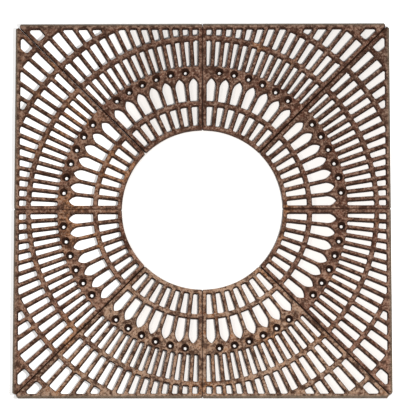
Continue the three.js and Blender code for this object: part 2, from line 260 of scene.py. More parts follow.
class GrateStage(bpy.types.PropertyGroup):
    """Camera, floor and lights. A glow is what the floor adds to its lit white in pictures."""

    camera_height: length("Camera Height", "Camera's height above the ground", 8.0)
    camera_east: length("Camera East", "How far east of the grate's middle the camera hangs", 0.124)
    camera_south: length("Camera South", "How far south of the grate's middle the camera hangs", 1.026)
    tilt_north: angle("Tilt North", "Camera's tilt towards the north", 7.42)
    tilt_west: angle("Tilt West", "Camera's tilt towards the west", 0.83)
    view_width: length("View Width", "Width of ground that the picture takes in", 1.322)
    floor_size: length("Floor Size", "Side of the floor", 14.0)
    floor_paint: colour("Floor Paint", "Warm white of the floor", (0.90, 0.865, 0.83))
    opening_glow: share("Opening Glow", "Glow in the tree opening", 0.35)
    floor_glow: share("Floor Glow", "Glow under the grate", 0.08)
    outer_glow: share("Outer Glow", "Glow beside the grate", 0.72)
    west_glow: share("West Glow", "Glow under the west side", 0.55)
    west_start: length("West Start", "How far west the floor starts to glow more", 0.16)
    west_end: length("West End", "How far west it glows as under the west side", 0.40)
    glow_margin: length("Glow Margin", "Width over which one glow goes over into the other", 0.01)
    glow_start: length("Glow Start", "Distance at which the floor starts to fade into the white", 1.1)
    glow_end: length("Glow End", "Distance at which the floor has faded into the white", 3.2)
    ambient: share("Ambient", "Strength of the room's even light", 0.08)
    lamps_south: length("Lamps South", "How far south of the middle both lamps hang", 0.3)
    right_east: length("Right Lamp East", "How far east of the middle the right lamp hangs", 0.56)
    right_height: length("Right Lamp Height", "Height of the right lamp", 3.0)
    right_size: length("Right Lamp Size", "Side of the right lamp's square face", 0.22)
    right_light: share("Right Light", "Right lamp's share of the light on the ground", 0.88)
    left_west: length("Left Lamp West", "How far west of the middle the left lamp hangs", 1.4)
    left_height: length("Left Lamp Height", "Height of the left lamp", 4.0)
    left_size: length("Left Lamp Size", "Side of the left lamp's square face", 0.5)
    left_light: share("Left Light", "Left lamp's share of the light on the ground", 0.1)


# Outlines of one section, as half planes that cut a convex shape back


def toward(ray):
    return Vector((math.cos(ray), math.sin(ray)))


def leftward(direction):
    return Vector((-direction.y, direction.x))


def left_of(origin, ray, wall):
    normal = leftward(toward(ray))
    return normal, normal.dot(origin) + wall


def right_of(origin, ray, wall):
    normal = -leftward(toward(ray))
    return normal, normal.dot(origin) + wall


def beyond(origin, radius, ray):
    normal = toward(ray)
    return normal, normal.dot(origin) + radius


def within(origin, radius, ray):
    normal, distance = beyond(origin, radius, ray)
    return -normal, -distance


def cut_back(outline, bounds, inset):
    """A convex outline cut back to one side of each bound, which is moved in by the inset."""
    for normal, distance in bounds:
        kept = []
        for place, point in enumerate(outline):
            following = outline[(place + 1) % len(outline)]
            here = normal.dot(point) - distance - inset
            there = normal.dot(following) - distance - inset
            if here >= 0:
                kept.append(point)
            if (here >= 0) != (there >= 0):
                kept.append(point.lerp(following, here / (here - there)))
        outline = kept
    return outline


def rounded(core, radius, step=math.radians(18)):
    """The outline that lies a radius outside a core outline, with an arc round each corner."""
    count = len(core)
    edges = [core[(place + 1) % count] - core[place] for place in range(count)]
    normals = [Vector((edge.y, -edge.x)).normalized() for edge in edges]
    outline = []
    for place, corner in enumerate(core):
        before = normals[place - 1]
        after = normals[place]
        turn = math.atan2(before.cross(after), before.dot(after))
        if turn > step / 2:
            steps = math.ceil(turn / step)
            start = math.atan2(before.y, before.x)
            for part in range(steps + 1):
                outline.append(corner + radius * toward(start + turn * part / steps))
        else:
            outline.append(corner + radius * (before + after) / (1 + before.dot(after)))
    return outline


def spaced(outline, spacing):
    """The outline with points added where a straight stretch is longer than the spacing."""
    points = []
    for place, point in enumerate(outline):
        following = outline[(place + 1) % len(outline)]
        steps = max(1, math.ceil((following - point).length / spacing))
        points.extend(point.lerp(following, part / steps) for part in range(steps))
    return points


def marked_mesh(name, points, edges, marks):
    """A mesh of points and edges, with a mark on each point: its kind and its turn about Z."""
    mesh = bpy.data.meshes.new(name)
    mesh.from_pydata(points, edges, [])
    kinds, turns = zip(*marks)
    mesh.attributes.new("kind", "INT", "POINT").data.foreach_set("value", kinds)
    mesh.attributes.new("turn", "FLOAT", "POINT").data.foreach_set("value", turns)
    return mesh


class SectionPlan:
    """The plan of the section from the middle of the east side to the north-east corner."""

    def __init__(self, pattern):
        self.pattern = pattern
        self.half_side = pattern.side / 2
        self.slot_pitch = EIGHTH / (2 * pattern.lancet_count)
        self.lancet_pitch = EIGHTH / pattern.lancet_count
        self.centre = pattern.pattern_offset * toward(EIGHTH / 2)
        start = pattern.opening_radius + pattern.collar_width - pattern.pattern_offset
        self.inner = (start, start + pattern.inner_ring)
        start = self.inner[1] + pattern.band_width
        self.lancets = (start, start + pattern.lancet_ring)
        start = self.lancets[1] + pattern.belt_width
        self.belt_middle = (self.lancets[1] + start) / 2
        self.slot_rings = []
        for ring_length in (pattern.second_ring, pattern.third_ring, pattern.fourth_ring, pattern.side):
            self.slot_rings.append((start, start + ring_length))
            start += ring_length + pattern.band_width
        origin = Vector((0, 0))
        self.bounds = [
            left_of(origin, 0, pattern.side_seam / 2 + pattern.flange_width),
            right_of(origin, EIGHTH, pattern.diagonal_seam / 2 + pattern.flange_width),
            (Vector((-1, 0)), pattern.rim_width - self.half_side),
        ]

    def section(self, joint_inset, edge_inset, collar_inset, corner_cut=0, steps=36):
        """Outline of the whole section, set in from its joints, its outer edge and the opening."""
        pattern = self.pattern
        from_side = pattern.side_seam / 2 + joint_inset
        from_diagonal = pattern.diagonal_seam / 2 + joint_inset
        radius = pattern.opening_radius + collar_inset
        edge = self.half_side - edge_inset
        corner = edge - from_diagonal * math.sqrt(2)
        cut = corner_cut * math.sqrt(0.5)
        start = EIGHTH - math.asin(from_diagonal / radius)
        end = math.asin(from_side / radius)
        arc = [radius * toward(start + (end - start) * part / steps) for part in range(steps + 1)]
        outer = [Vector((edge, from_side)), Vector((edge, corner - corner_cut))]
        if corner_cut:
            outer.append(Vector((edge - cut, corner - cut)))
        return outer + arc

    def slot(self, first, last, ring, inset):
        """Outline of the slot between two rays of the fan."""
        half_bar = self.pattern.bar_width / 2
        middle = (first + last) / 2
        bounds = [
            *self.bounds,
            beyond(self.centre, ring[0], middle),
            within(self.centre, ring[1], middle),
        ]
        if first > 0:
            bounds.append(left_of(self.centre, first, half_bar))
        if last < EIGHTH - self.slot_pitch / 2:
            bounds.append(right_of(self.centre, last, half_bar))
        reach = self.pattern.side
        corners = ((-reach, -reach), (reach, -reach), (reach, reach), (-reach, reach))
        return cut_back([Vector(corner) for corner in corners], bounds, inset)

    def slots(self, ring, pitch, inset):
        """Every slot of one ring, without those that the rim would make too short."""
        pattern = self.pattern
        found = []
        for place in range(round(EIGHTH / pitch)):
            first = place * pitch
            last = first + pitch
            to_rim = (self.half_side - pattern.rim_width - self.centre.x) / math.cos((first + last) / 2)
            if min(ring[1], to_rim) - ring[0] >= pattern.shortest_slot:
                found.append(self.slot(first, last, ring, inset))
        return found

    def lancet(self, middle, inset, steps=8):
        """Outline of a lancet: straight sides along its two bars, and a pointed arch outside."""
        pattern = self.pattern
        base = self.lancets[0] + inset
        spring = self.lancets[1] - pattern.arch
        rise = pattern.arch - inset
        slope = math.tan(self.lancet_pitch / 2)
        wall = (pattern.lancet_bar_width / 2 + inset) / math.cos(self.lancet_pitch / 2)
        base_half = base * slope - wall
        spring_half = spring * slope - wall
        radius = (rise * rise + spring_half * spring_half) / (2 * spring_half)
        sweep = math.asin(rise / radius)
        side = [(base, base_half)]
        for part in range(steps):
            turn = sweep * part / steps
            side.append((spring + radius * math.sin(turn), spring_half - radius * (1 - math.cos(turn))))
        outline = [(x, -y) for x, y in side] + [(spring + rise, 0)] + side[::-1]
        out = toward(middle)
        left = leftward(out)
        return cut_back([self.centre + x * out + y * left for x, y in outline], self.bounds, inset)

    def drain_hole(self, ray, steps=24):
        middle = self.centre + self.belt_middle * toward(ray)
        turns = [math.tau * part / steps for part in range(steps)]
        return [middle + self.pattern.drain_radius * toward(turn) for turn in turns]

    def openings(self):
        """Outlines of all openings on the top face, with rounded corners."""
        pattern = self.pattern
        rings = [(self.inner, self.lancet_pitch, pattern.slot_corner)]
        rings.extend((ring, self.slot_pitch, pattern.slot_corner) for ring in self.slot_rings[:-1])
        rings.append((self.slot_rings[-1], self.slot_pitch, pattern.last_corner))
        outlines = []
        for ring, pitch, corner in rings:
            outlines.extend(rounded(core, corner) for core in self.slots(ring, pitch, corner))
        for place in range(pattern.lancet_count):
            core = self.lancet((place + 0.5) * self.lancet_pitch, pattern.lancet_corner)
            outlines.append(rounded(core, pattern.lancet_corner))
        return outlines

    def edge(self):
        """The section's own outline with rounded corners."""
        corner = self.pattern.outline_corner
        return rounded(self.section(corner, corner, corner, self.pattern.corner_cut), corner)

    def pocket(self):
        """The outline of the space under the bars, where it meets them."""
        pattern = self.pattern
        corner = pattern.pocket_corner
        step = pattern.wall_draft - pattern.parting_step + corner
        collar_inset = pattern.collar_width + pattern.collar_step + corner
        core = self.section(pattern.flange_width + step, pattern.rim_width + step, collar_inset)
        return rounded(core, corner)

    def bolt_points(self, bays):
        """Where each bolt leaves the section's joint faces, with its kind and turn into the section."""
        pattern = self.pattern
        start = pattern.opening_radius
        side_shares = (bays.side_inner, bays.side_outer)
        diagonal_shares = (bays.diagonal_inner, bays.diagonal_outer)
        corner = self.half_side * math.sqrt(2)
        found = []
        for kind, ray, turn, seam, end, shares in (
            (SIDE_BOLT, 0, 0, pattern.side_seam, self.half_side, side_shares),
            (DIAGONAL_BOLT, EIGHTH, EIGHTH + math.pi, -pattern.diagonal_seam, corner, diagonal_shares),
        ):
            out = toward(ray)
            for way in shares:
                place = out * (start + (end - start) * way) + leftward(out) * seam / 2
                found.append((place, (kind, turn)))
        return found

    def mesh(self, bays):
        """The plan as loops of edges, with each point's kind, and the bolts as loose points."""
        spacing = self.pattern.point_spacing
        loops = [(OPENING, spaced(outline, spacing)) for outline in self.openings()]
        for place in range(1, self.pattern.lancet_count):
            loops.append((DRAIN, self.drain_hole(place * self.lancet_pitch)))
        loops.append((EDGE, spaced(self.edge(), spacing)))
        loops.append((POCKET, spaced(self.pocket(), spacing)))
        points, edges, marks = [], [], []
        for kind, outline in loops:
            first = len(points)
            count = len(outline)
            points.extend(outline)
            edges.extend((first + place, first + (place + 1) % count) for place in range(count))
            marks.extend([(kind, 0.0)] * count)
        for place, mark in self.bolt_points(bays):
            points.append(place)
            marks.append(mark)
        return marked_mesh("section_plan", [(point.x, point.y, 0) for point in points], edges, marks)


# Node trees


class Wire:
    """A node's output. Python's signs on it add the math nodes that they stand for."""

    def __init__(self, sheet, socket):
        self.sheet = sheet
        self.socket = socket

    def __add__(self, other):
        return self.sheet.math("ADD", self, other)

    def __sub__(self, other):
        return self.sheet.math("SUBTRACT", self, other)

    def __rsub__(self, other):
        return self.sheet.math("SUBTRACT", other, self)

    def __mul__(self, other):
        return self.sheet.math("MULTIPLY", self, other)

    def __truediv__(self, other):
        return self.sheet.math("DIVIDE", self, other)

    def __neg__(self):
        return self * -1.0

    def __abs__(self):
        return self.sheet.math("ABSOLUTE", self)


class NodeSheet:
    """A node tree with short calls for its nodes and links."""

    def __init__(self, tree):
        self.tree = tree
        tree.nodes.clear()

    def node(self, kind, values=None, **settings):
        """Adds a node and feeds its inputs, by name or number, with numbers or wires."""
        node = self.tree.nodes.new(kind)
        node.location = (NODE_SPACING * len(self.tree.nodes), 0)
        for name, value in settings.items():
            setattr(node, name, value)
        for key, value in (values or {}).items():
            self.feed(self.socket(node.inputs, key), value)
        return node

    def add(self, kind, values=None, **settings):
        """Adds a node and returns its first output."""
        node = self.node(kind, values, **settings)
        return Wire(self, next(socket for socket in node.outputs if socket.enabled))

    def outputs(self, kind, values=None):
        """Adds a node and returns all its outputs by name."""
        return {socket.name: Wire(self, socket) for socket in self.node(kind, values).outputs}

    @staticmethod
    def socket(sockets, key):
        if isinstance(key, int):
            return sockets[key]
        return next(socket for socket in sockets if socket.enabled and socket.name == key)

    def feed(self, socket, value):
        if isinstance(value, (list, tuple)) and any(isinstance(part, Wire) for part in value):
            if socket.is_multi_input:
                for part in value:
                    self.feed(socket, part)
                return
            value = self.add("ShaderNodeCombineXYZ", dict(enumerate(value)))
        if isinstance(value, Wire):
            self.tree.links.new(value.socket, socket)
        else:
            socket.default_value = value

    def math(self, operation, *values):
        return self.add("ShaderNodeMath", dict(enumerate(values)), operation=operation)

    def largest(self, value, *others):
        for other in others:
            value = self.math("MAXIMUM", value, other)
        return value

    def coordinates(self, vector):
        return list(self.outputs("ShaderNodeSeparateXYZ", {"Vector": vector}).values())

    def in_pictures(self):
        """1 on rays from the camera, also by way of a mirror or glass, and 0 on rays that light."""
        rays = self.outputs("ShaderNodeLightPath")
        return self.largest(rays["Is Camera Ray"], rays["Is Glossy Ray"], rays["Is Transmission Ray"])


class GeometrySheet(NodeSheet):
    """A geometry tree with an input for each of the values that a modifier gives it."""

    def __init__(self, name, values):
        super().__init__(bpy.data.node_groups.new(name, "GeometryNodeTree"))
        face = self.tree.interface
        face.new_socket("Geometry", in_out="INPUT", socket_type="NodeSocketGeometry")
        face.new_socket("Geometry", in_out="OUTPUT", socket_type="NodeSocketGeometry")
        for label, value in values.items():
            # The kinds of value that come here are Float, Bool and Material
            kind = type(value).__name__.capitalize()
            face.new_socket(label, in_out="INPUT", socket_type="NodeSocket" + kind)
        self.group = self.node("NodeGroupInput")

    def given(self, name):
        return Wire(self, self.group.outputs[name])

    def finish(self, geometry):
        """Ends the tree in real geometry with the given material."""
        real = self.add("GeometryNodeRealizeInstances", {"Geometry": geometry})
        painted = self.add("GeometryNodeSetMaterial", {"Geometry": real, "Material": self.given("Material")})
        self.node("NodeGroupOutput", {0: painted})
        return self.tree

    def polyline(self, corners):
        """A curve through corners in its own plane, whose coordinates are numbers or wires."""
        line = self.add("GeometryNodeMeshLine", {"Count": len(corners), "Offset": (MM, 0, 0)})
        place = self.node("GeometryNodeIndexSwitch", data_type="VECTOR")
        while len(place.index_switch_items) < len(corners):
            place.index_switch_items.new()
        self.feed(place.inputs[0], self.add("GeometryNodeInputIndex"))
        for number, (along, down) in enumerate(corners):
            self.feed(place.inputs[1 + number], self.add("ShaderNodeCombineXYZ", {"X": along, "Y": down}))
        position = Wire(self, place.outputs[0])
        bent = self.add("GeometryNodeSetPosition", {"Geometry": line, "Position": position})
        return self.curve(bent)

    def curve(self, mesh):
        return self.add("GeometryNodeMeshToCurve", {"Mesh": mesh})

    def circle(self, points, radius):
        values = {"Resolution": points, "Radius": radius}
        return self.add("GeometryNodeCurvePrimitiveCircle", values, mode="RADIUS")

    def filleted(self, curve, radius, count):
        values = {"Curve": curve, "Count": count, "Radius": radius, "Limit Radius": True}
        return self.add("GeometryNodeFilletCurve", values, mode="POLY")

    def swept(self, curve, profile, caps=False):
        """A profile swept along a curve, with its Y axis along Z."""
        upright = self.add("GeometryNodeSetCurveNormal", {"Curve": curve}, mode="Z_UP")
        values = {"Curve": upright, "Profile Curve": profile, "Fill Caps": caps}
        return self.add("GeometryNodeCurveToMesh", values)

    def moved(self, geometry, by=(0.0, 0.0, 0.0), turned=(0.0, 0.0, 0.0), scaled=(1.0, 1.0, 1.0)):
        values = {"Geometry": geometry, "Translation": by, "Rotation": turned, "Scale": scaled}
        return self.add("GeometryNodeTransform", values)

    def flipped(self, mesh):
        return self.add("GeometryNodeFlipFaces", {"Mesh": mesh})

    def attribute(self, name, kind):
        return self.add("GeometryNodeInputNamedAttribute", {"Name": name}, data_type=kind)

    def compared(self, operation, kind, first, second):
        return self.add(
            "FunctionNodeCompare", {"A": first, "B": second}, data_type=kind, operation=operation
        )

    def of_kind(self, geometry, kind):
        """The points of the plan that are of one kind."""
        same = self.compared("EQUAL", "INT", self.attribute("kind", "INT"), kind)
        return self.add("GeometryNodeSeparateGeometry", {"Geometry": geometry, "Selection": same})

    def cap(self, shell, height):
        """A flat face between the shell's open edges at a height."""
        is_open = self.compared("EQUAL", "INT", self.add("GeometryNodeInputMeshEdgeNeighbors"), 1)
        above = self.coordinates(self.add("GeometryNodeInputPosition"))[2] - height
        level = self.compared("LESS_THAN", "FLOAT", abs(above), LEVEL_TOLERANCE)
        chosen = self.add("FunctionNodeBooleanMath", {0: is_open, 1: level}, operation="AND")
        edges = self.add("GeometryNodeMeshToCurve", {"Mesh": shell, "Selection": chosen})
        face = self.add("GeometryNodeFillCurve", {"Curve": edges}, mode="TRIANGLES")
        return self.moved(face, (0.0, 0.0, height))

    def joined(self, *geometries):
        return self.add("GeometryNodeJoinGeometry", {"Geometry": geometries})

    def merged(self, *geometries):
        values = {"Geometry": self.joined(*geometries), "Distance": MERGE_DISTANCE}
        return self.add("GeometryNodeMergeByDistance", values)

    def boolean(self, operation, first, second):
        """Joins, cuts or intersects two closed meshes."""
        values = {0: first, 1: second} if operation == "DIFFERENCE" else {1: (first, second)}
        return self.add("GeometryNodeMeshBoolean", values, operation=operation, solver="MANIFOLD")

    def smooth(self, geometry, sharp):
        """Smooth shading, with a sharp line where two faces meet at more than the sharp angle."""
        soft = self.add("GeometryNodeSetShadeSmooth", {"Geometry": geometry}, domain="FACE")
        wide = self.compared("GREATER_THAN", "FLOAT", self.add("GeometryNodeInputMeshEdgeAngle"), sharp)
        values = {"Geometry": soft, "Selection": wide, "Shade Smooth": False}
        return self.add("GeometryNodeSetShadeSmooth", values, domain="EDGE")

    def box(self, size, centre):
        """A box whose size and centre are numbers or wires."""
        return self.moved(self.add("GeometryNodeMeshCube", {"Size": size}), centre)

    def cone(self, radius, bottom, top, top_radius=None):
        """A cone, or a cylinder if it has one radius, between two heights."""
        values = {
            "Vertices": FASTENER_SIDES,
            "Radius Bottom": radius,
            "Radius Top": radius if top_radius is None else top_radius,
            "Depth": top - bottom,
        }
        return self.moved(self.add("GeometryNodeMeshCone", values, fill_type="NGON"), (0.0, 0.0, bottom))

    def on_points(self, points, shape):
        """Copies of a shape on points, each turned about Z by the point's own turn."""
        turned = self.add("ShaderNodeCombineXYZ", {"Z": self.attribute("turn", "FLOAT")})
        rotation = self.add("FunctionNodeEulerToRotation", {0: turned})
        values = {"Points": points, "Instance": shape, "Rotation": rotation}
        copies = self.add("GeometryNodeInstanceOnPoints", values)
        return self.add("GeometryNodeRealizeInstances", {"Geometry": copies})


def casting_shell(sheet, plan):
    """The closed skin of a section: slot walls, outer wall and pocket, and the faces between."""
    depth = sheet.given("Depth")
    underside = depth - sheet.given("Bar Depth")
    edge = sheet.given("Edge Radius")
    foot = sheet.given("Foot Radius")
    rim = sheet.given("Rim Radius")
    top_level = -depth
    bar_level = -underside

    def wall_profile(lean):
        """Half a wall of an opening, from its narrower foot up over the rounded edge."""
        corners = [(foot - lean, bar_level), (-lean, bar_level), (0.0, top_level), (edge, top_level)]
        return sheet.filleted(sheet.polyline(corners), edge, EDGE_STEPS)

    edge_profile = sheet.polyline([(-rim, top_level), (0.0, top_level), (0.0, 0.0), (-foot, 0.0)])
    profiles = (
        (OPENING, wall_profile(sheet.given("Wall Draft"))),
        (DRAIN, wall_profile(sheet.given("Drain Taper"))),
        (EDGE, sheet.filleted(edge_profile, rim, RIM_STEPS)),
        (POCKET, sheet.polyline([(sheet.given("Skirt Draft"), 0.0), (0.0, bar_level)])),
    )
    walls = [sheet.swept(sheet.curve(sheet.of_kind(plan, kind)), profile) for kind, profile in profiles]
    shell = sheet.joined(*walls)
    top = sheet.cap(shell, depth)
    bars = sheet.flipped(sheet.cap(shell, underside))
    ground = sheet.flipped(sheet.cap(shell, 0.0))
    return sheet.merged(shell, top, bars, ground)


def uneven_skin(sheet, mesh):
    """The skin raised and sunk within the unevenness, in a pattern of its own for each seed."""
    noise = sheet.add("ShaderNodeTexNoise", {"W": sheet.given("Seed"), **SKIN_NOISE}, noise_dimensions="4D")
    rise = (SKIN_MIDDLE - noise) * sheet.given("Unevenness")
    normal = sheet.add("GeometryNodeInputNormal")
    offset = sheet.add("ShaderNodeVectorMath", {0: normal, "Scale": rise}, operation="SCALE")
    return sheet.add("GeometryNodeSetPosition", {"Geometry": mesh, "Offset": offset})


def with_bolt_bays(sheet, mesh, plan):
    """The casting with pads on its diagonal face, and a bay and a hole for each bolt."""
    bay_length = sheet.given("Bay Length")
    reach = sheet.given("Bay Reach")
    roof = sheet.given("Bay Roof")
    flange = sheet.given("Flange Width")
    pad = sheet.given("Pad Height")
    overrun = sheet.given("Edge Radius")
    back = flange / 2
    pads = sheet.box((bay_length, pad + back, roof), (0.0, (back - pad) / 2, roof / 2))
    bay = sheet.box((bay_length, reach, roof + overrun), (0.0, flange + reach / 2, (roof - overrun) / 2))
    values = {"Vertices": HOLE_SIDES, "Radius": sheet.given("Bolt Hole Radius"), "Depth": flange * 3}
    hole = sheet.add("GeometryNodeMeshCylinder", values, fill_type="NGON")
    hole = sheet.moved(hole, (0.0, flange / 2, sheet.given("Bolt Height")), (QUARTER, 0.0, 0.0))
    diagonal_points = sheet.of_kind(plan, DIAGONAL_BOLT)
    all_points = sheet.joined(sheet.of_kind(plan, SIDE_BOLT), diagonal_points)
    padded = sheet.boolean("UNION", mesh, sheet.on_points(diagonal_points, pads))
    hollowed = sheet.boolean("DIFFERENCE", padded, sheet.on_points(all_points, bay))
    return sheet.boolean("DIFFERENCE", hollowed, sheet.on_points(all_points, hole))


def section_tree(values):
    """From the plan of a section to its casting, mirrored and turned into its place."""
    sheet = GeometrySheet("cast_section", values)
    plan = sheet.given("Geometry")
    casting = with_bolt_bays(sheet, uneven_skin(sheet, casting_shell(sheet, plan)), plan)
    mirrored = sheet.moved(sheet.flipped(casting), scaled=(1.0, -1.0, 1.0))
    hands = {"Switch": sheet.given("Mirrored"), "False": casting, "True": mirrored}
    chosen = sheet.add("GeometryNodeSwitch", hands, input_type="GEOMETRY")
    turned = sheet.moved(chosen, turned=(0.0, 0.0, sheet.given("Turn")))
    return sheet.finish(sheet.smooth(turned, CASTING_SHARP))


def fastener_tree(name, shape, values):
    """Copies of a fastener on the joints' points. The shape is made for either seam's width."""
    sheet = GeometrySheet(name, values)
    copies = []
    for kind, seam in ((SIDE_BOLT, "Side Seam"), (DIAGONAL_BOLT, "Diagonal Seam")):
        seat = sheet.given(seam) / 2 + sheet.given("Flange Width") + sheet.given("Seat Gap")
        across = sheet.moved(shape(sheet, seat), turned=(-QUARTER, 0.0, 0.0))
        copies.append(sheet.on_points(sheet.of_kind(sheet.given("Geometry"), kind), across))
    return sheet.finish(sheet.smooth(sheet.joined(*copies), FASTENER_SHARP))


def square_plate(sheet, width, bottom, thickness):
    return sheet.box((width, width, thickness), (0.0, 0.0, bottom + thickness / 2))


def chamfered(sheet, plate, width, face, upper):
    """A square plate with its corners taken off at its upper or lower face."""
    narrow = width * CHAMFER_START
    wide = narrow + width * CHAMFER_SLOPE
    if upper:
        return sheet.boolean("INTERSECT", plate, sheet.cone(wide, face - width, face, narrow))
    return sheet.boolean("INTERSECT", plate, sheet.cone(narrow, face, face + width, wide))


def nut_seat(sheet, seat):
    """Height of the nut's face, which lies on the washer."""
    return -(seat + (sheet.given("Washer Thickness") + sheet.given("Seat Gap")))


def bolt_shape(sheet, seat):
    """A square-headed bolt along Z: head, plain shank, and a screw thread where the nut sits."""
    width = sheet.given("Head Width")
    height = sheet.given("Head Height")
    radius = sheet.given("Bolt Diameter") / 2
    core_radius = radius - sheet.given("Thread Depth")
    chamfer = sheet.given("End Chamfer")
    nut_face = nut_seat(sheet, seat)
    end = nut_face - sheet.given("Nut Thickness") - sheet.given("End Length")
    thread_end = end + chamfer
    thread_length = nut_face - thread_end
    head = chamfered(sheet, square_plate(sheet, width, seat, height), width, seat + height, True)
    shank = sheet.cone(radius, nut_face, seat + chamfer)
    core = sheet.cone(core_radius, thread_end, nut_face + chamfer)
    point = sheet.cone(radius - chamfer, end, thread_end, core_radius)
    helix = sheet.add("GeometryNodeCurveSpiral", {
        "Resolution": THREAD_STEPS,
        "Rotations": thread_length / sheet.given("Thread Pitch"),
        "Start Radius": core_radius,
        "End Radius": core_radius,
        "Height": thread_length,
    })
    ridge = sheet.circle(RIDGE_SIDES, sheet.given("Thread Depth") * RIDGE_SHARE)
    thread = sheet.moved(sheet.swept(helix, ridge, True), (0.0, 0.0, thread_end))
    for piece in (shank, core, point, thread):
        head = sheet.boolean("UNION", head, piece)
    return head


def nut_shape(sheet, seat):
    """A square nut along Z with its corners taken off at both faces."""
    width = sheet.given("Nut Width")
    thickness = sheet.given("Nut Thickness")
    face = nut_seat(sheet, seat)
    back = face - thickness
    block = chamfered(sheet, square_plate(sheet, width, back, thickness), width, face, True)
    block = chamfered(sheet, block, width, back, False)
    bore = sheet.given("Bolt Diameter") / 2 + sheet.given("Seat Gap")
    return sheet.boolean("DIFFERENCE", block, sheet.cone(bore, back - thickness, face + thickness))


def washer_shape(sheet, seat):
    """A washer along Z with rounded edges."""
    thickness = sheet.given("Washer Thickness")
    inner = sheet.given("Bolt Diameter") / 2 + sheet.given("Seat Gap")
    outer = sheet.given("Washer Diameter") / 2
    values = {"Width": outer - inner, "Height": thickness}
    section = sheet.add("GeometryNodeCurvePrimitiveQuadrilateral", values)
    ring = sheet.circle(WASHER_SIDES, (inner + outer) / 2)
    washer = sheet.swept(ring, sheet.filleted(section, sheet.given("Washer Edge"), WASHER_EDGE_STEPS))
    return sheet.moved(washer, (0.0, 0.0, -(seat + thickness / 2)))


def bolt_places():
    """A mesh of loose points where the bolts cross the seams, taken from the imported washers."""
    points, marks = [], []
    for number, joint in enumerate(JOINTS):
        turn = number * EIGHTH
        for place in BOLT_PLACES:
            low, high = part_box(f"{joint}_joint_{place}_washer")
            middle = (low + high) / 2
            along = middle.x * math.cos(turn) + middle.y * math.sin(turn)
            points.append((along * math.cos(turn), along * math.sin(turn), middle.z))
            marks.append((DIAGONAL_BOLT if number % 2 else SIDE_BOLT, turn))
    return marked_mesh("bolt_places", points, [], marks)


def placed(name, data):
    """A new object in the scene."""
    item = bpy.data.objects.new(name, data)
    bpy.context.scene.collection.objects.link(item)
    return item


def applied(name, mesh, tree, values):
    """A plain mesh object: what a geometry tree makes of a mesh with the given inputs."""
    source = placed(name + "_source", mesh)
    modifier = source.modifiers.new("shape", "NODES")
    modifier.node_group = tree
    for item in tree.interface.items_tree:
        if item.item_type == "SOCKET" and item.in_out == "INPUT" and item.name in values:
            modifier[item.identifier] = values[item.name]
    evaluated = source.evaluated_get(bpy.context.evaluated_depsgraph_get())
    made = bpy.data.meshes.new_from_object(evaluated)
    source.modifiers.remove(modifier)
    bpy.data.objects.remove(source)
    if not made.polygons:
        raise RuntimeError(f"{name}: its geometry tree made no faces")
    shape = bmesh.new()
    shape.from_mesh(made)
    bmesh.ops.dissolve_degenerate(shape, dist=MERGE_DISTANCE, edges=shape.edges)
    bmesh.ops.recalc_face_normals(shape, faces=shape.faces)
    shape.to_mesh(made)
    shape.free()
    made.name = name
    return placed(name, made)


def declare(piece, slot, *nodes):
    """Hangs the piece on the body's empty and hides the imported parts that it stands for. The slot is not
    used.
    """
    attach(piece, BODY)
    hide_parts(*nodes)


def sizes_of(group, *names):
    """A group's sizes under the names that a geometry tree gives them."""
    return {name: getattr(group, name.lower().replace(" ", "_")) for name in names}


# Finishes


